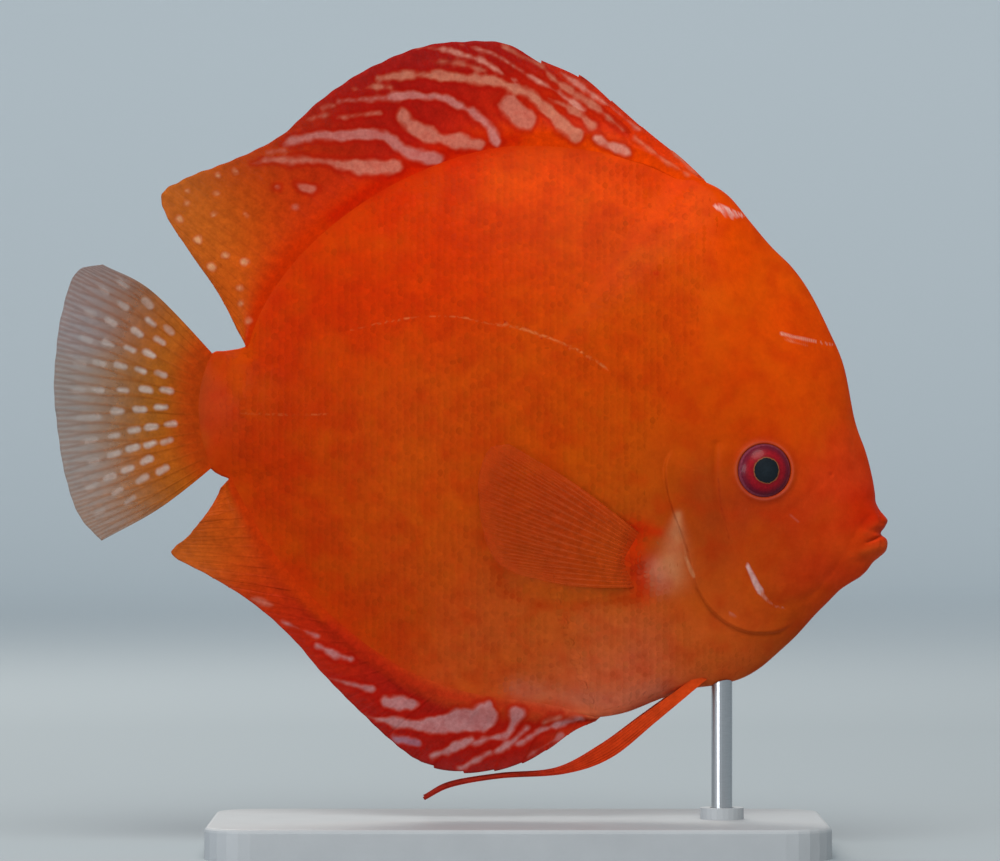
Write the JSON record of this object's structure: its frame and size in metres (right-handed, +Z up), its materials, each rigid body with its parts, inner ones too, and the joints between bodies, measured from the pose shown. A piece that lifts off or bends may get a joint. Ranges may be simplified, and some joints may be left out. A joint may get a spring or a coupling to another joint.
{
  "type": "discus fish model",
  "caption": "Life-size display model of a disc-shaped freshwater aquarium fish swimming level, its fins spread, held above a flat base on one short rod.",
  "frame": {"origin": "on the floor, under the middle of the whole model's bounding box", "axes": "+X towards the fish's snout, along its length; +Y towards the fish's left flank; +Z up"},
  "size_m": [0.16, 0.066, 0.1554],
  "materials": {
    "head_skin": "orange-red fish skin of the head, satin, cast and painted on the model",
    "gill_cover_left": "orange-brown skin over the gill plate, satin with a bony sheen",
    "gill_cover_right": "orange-brown skin over the gill plate, satin with a bony sheen",
    "trunk_skin": "orange scaled fish skin, satin",
    "tail_stalk_skin": "orange scaled fish skin, satin",
    "dorsal_fin": "deep red ribbed fin with pale streaks, amber towards the tail, satin",
    "anal_fin": "deep red ribbed fin with pale streaks, amber towards the tail, satin",
    "tail_fin": "translucent amber ribbed fin with pale dots, satin",
    "pectoral_fin_left": "thin translucent red-orange ribbed fin, satin",
    "pectoral_fin_right": "thin translucent red-orange ribbed fin, satin",
    "pelvic_fin_left": "red ribbed fin ending in a thread, satin",
    "pelvic_fin_right": "red ribbed fin ending in a thread, satin",
    "eye_left": "glass-clear eye with a crimson iris and a dark pupil, high gloss",
    "eye_right": "glass-clear eye with a crimson iris and a dark pupil, high gloss",
    "stand_base": "light grey painted plate, satin",
    "stand_rod": "plain round steel rod, satin"
  },
  "bodies": {
    "root": {"head": "head_skin", "gill_cover_left": "gill_cover_left", "gill_cover_right": "gill_cover_right", "trunk": "trunk_skin", "tail_stalk": "tail_stalk_skin", "dorsal_fin": "dorsal_fin", "anal_fin": "anal_fin", "tail_fin": "tail_fin", "pectoral_fin_left": "pectoral_fin_left", "pectoral_fin_right": "pectoral_fin_right", "pelvic_fin_left": "pelvic_fin_left", "pelvic_fin_right": "pelvic_fin_right", "eye_left": "eye_left", "eye_right": "eye_right", "stand_base": "stand_base", "stand_rod": "stand_rod"}
  },
  "joints": []
}
